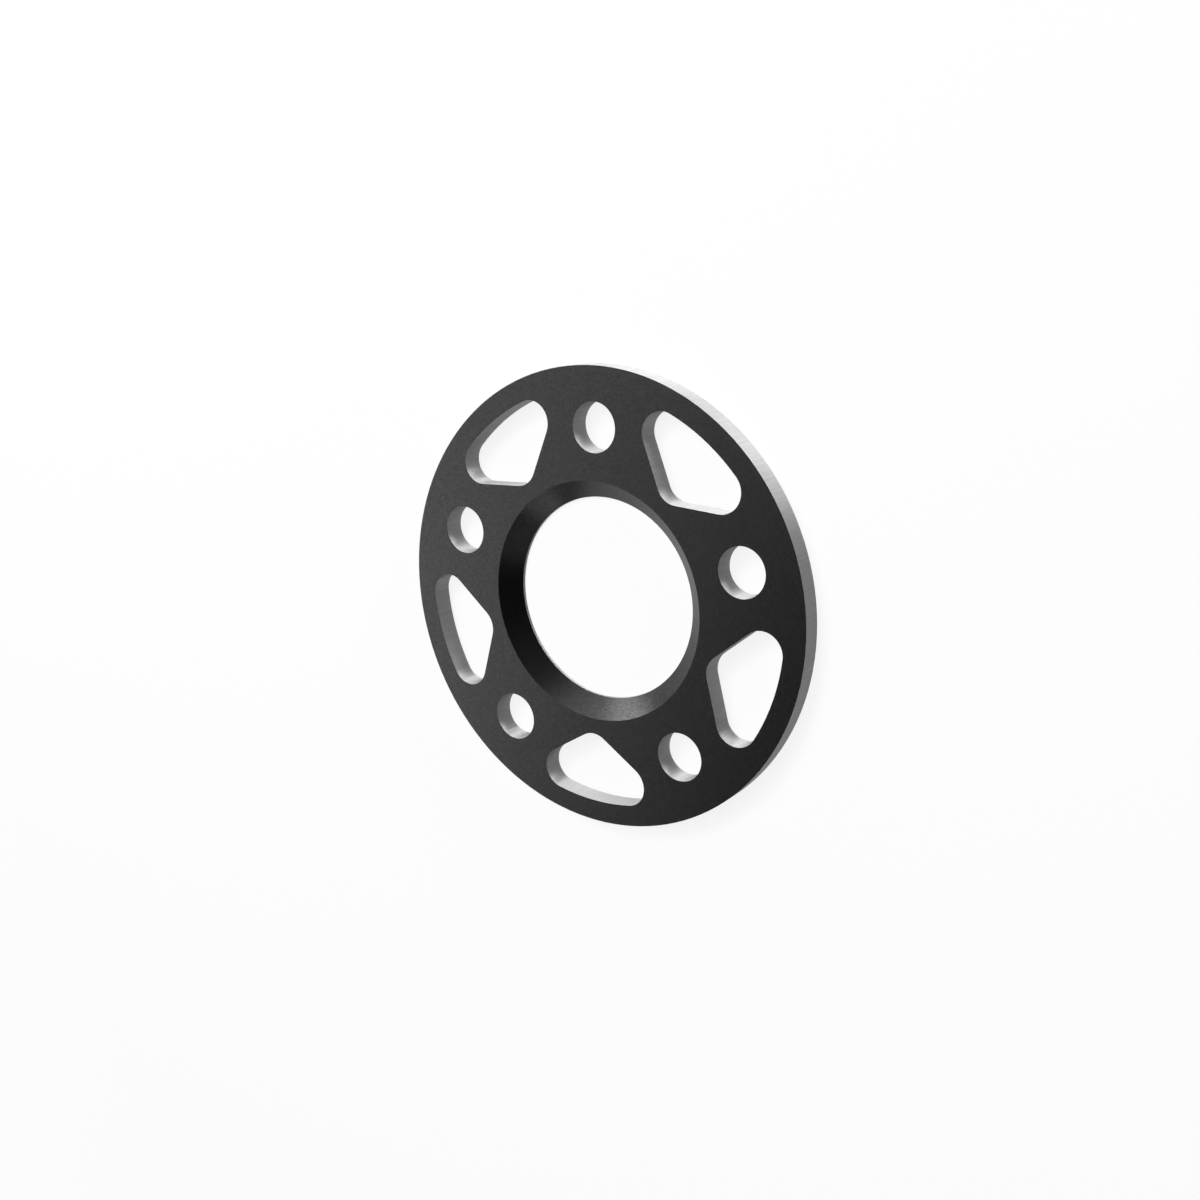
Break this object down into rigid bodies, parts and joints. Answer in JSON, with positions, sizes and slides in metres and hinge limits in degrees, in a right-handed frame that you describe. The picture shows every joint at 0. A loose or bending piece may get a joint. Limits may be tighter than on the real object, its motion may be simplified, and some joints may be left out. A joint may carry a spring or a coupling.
{
  "type": "wheel spacer",
  "caption": "Thin machined disc clamped between a hub and a wheel to move the wheel outwards, with a bevelled centre bore, round bolt holes on one circle and rounded windows.",
  "frame": {"origin": "centre of the flat hub face, on the axis of the bore", "axes": "+Z along the bore axis, out of the bevelled face that the wheel sits on; +Y from the axis through one bolt hole; +X to the right of it, seen from the wheel side"},
  "size_m": [0.15, 0.15, 0.007],
  "materials": {
    "black_anodised": "black anodised, satin, with a fine milled grain"
  },
  "bodies": {
    "root": {"spacer_disc": "black_anodised"}
  },
  "joints": []
}
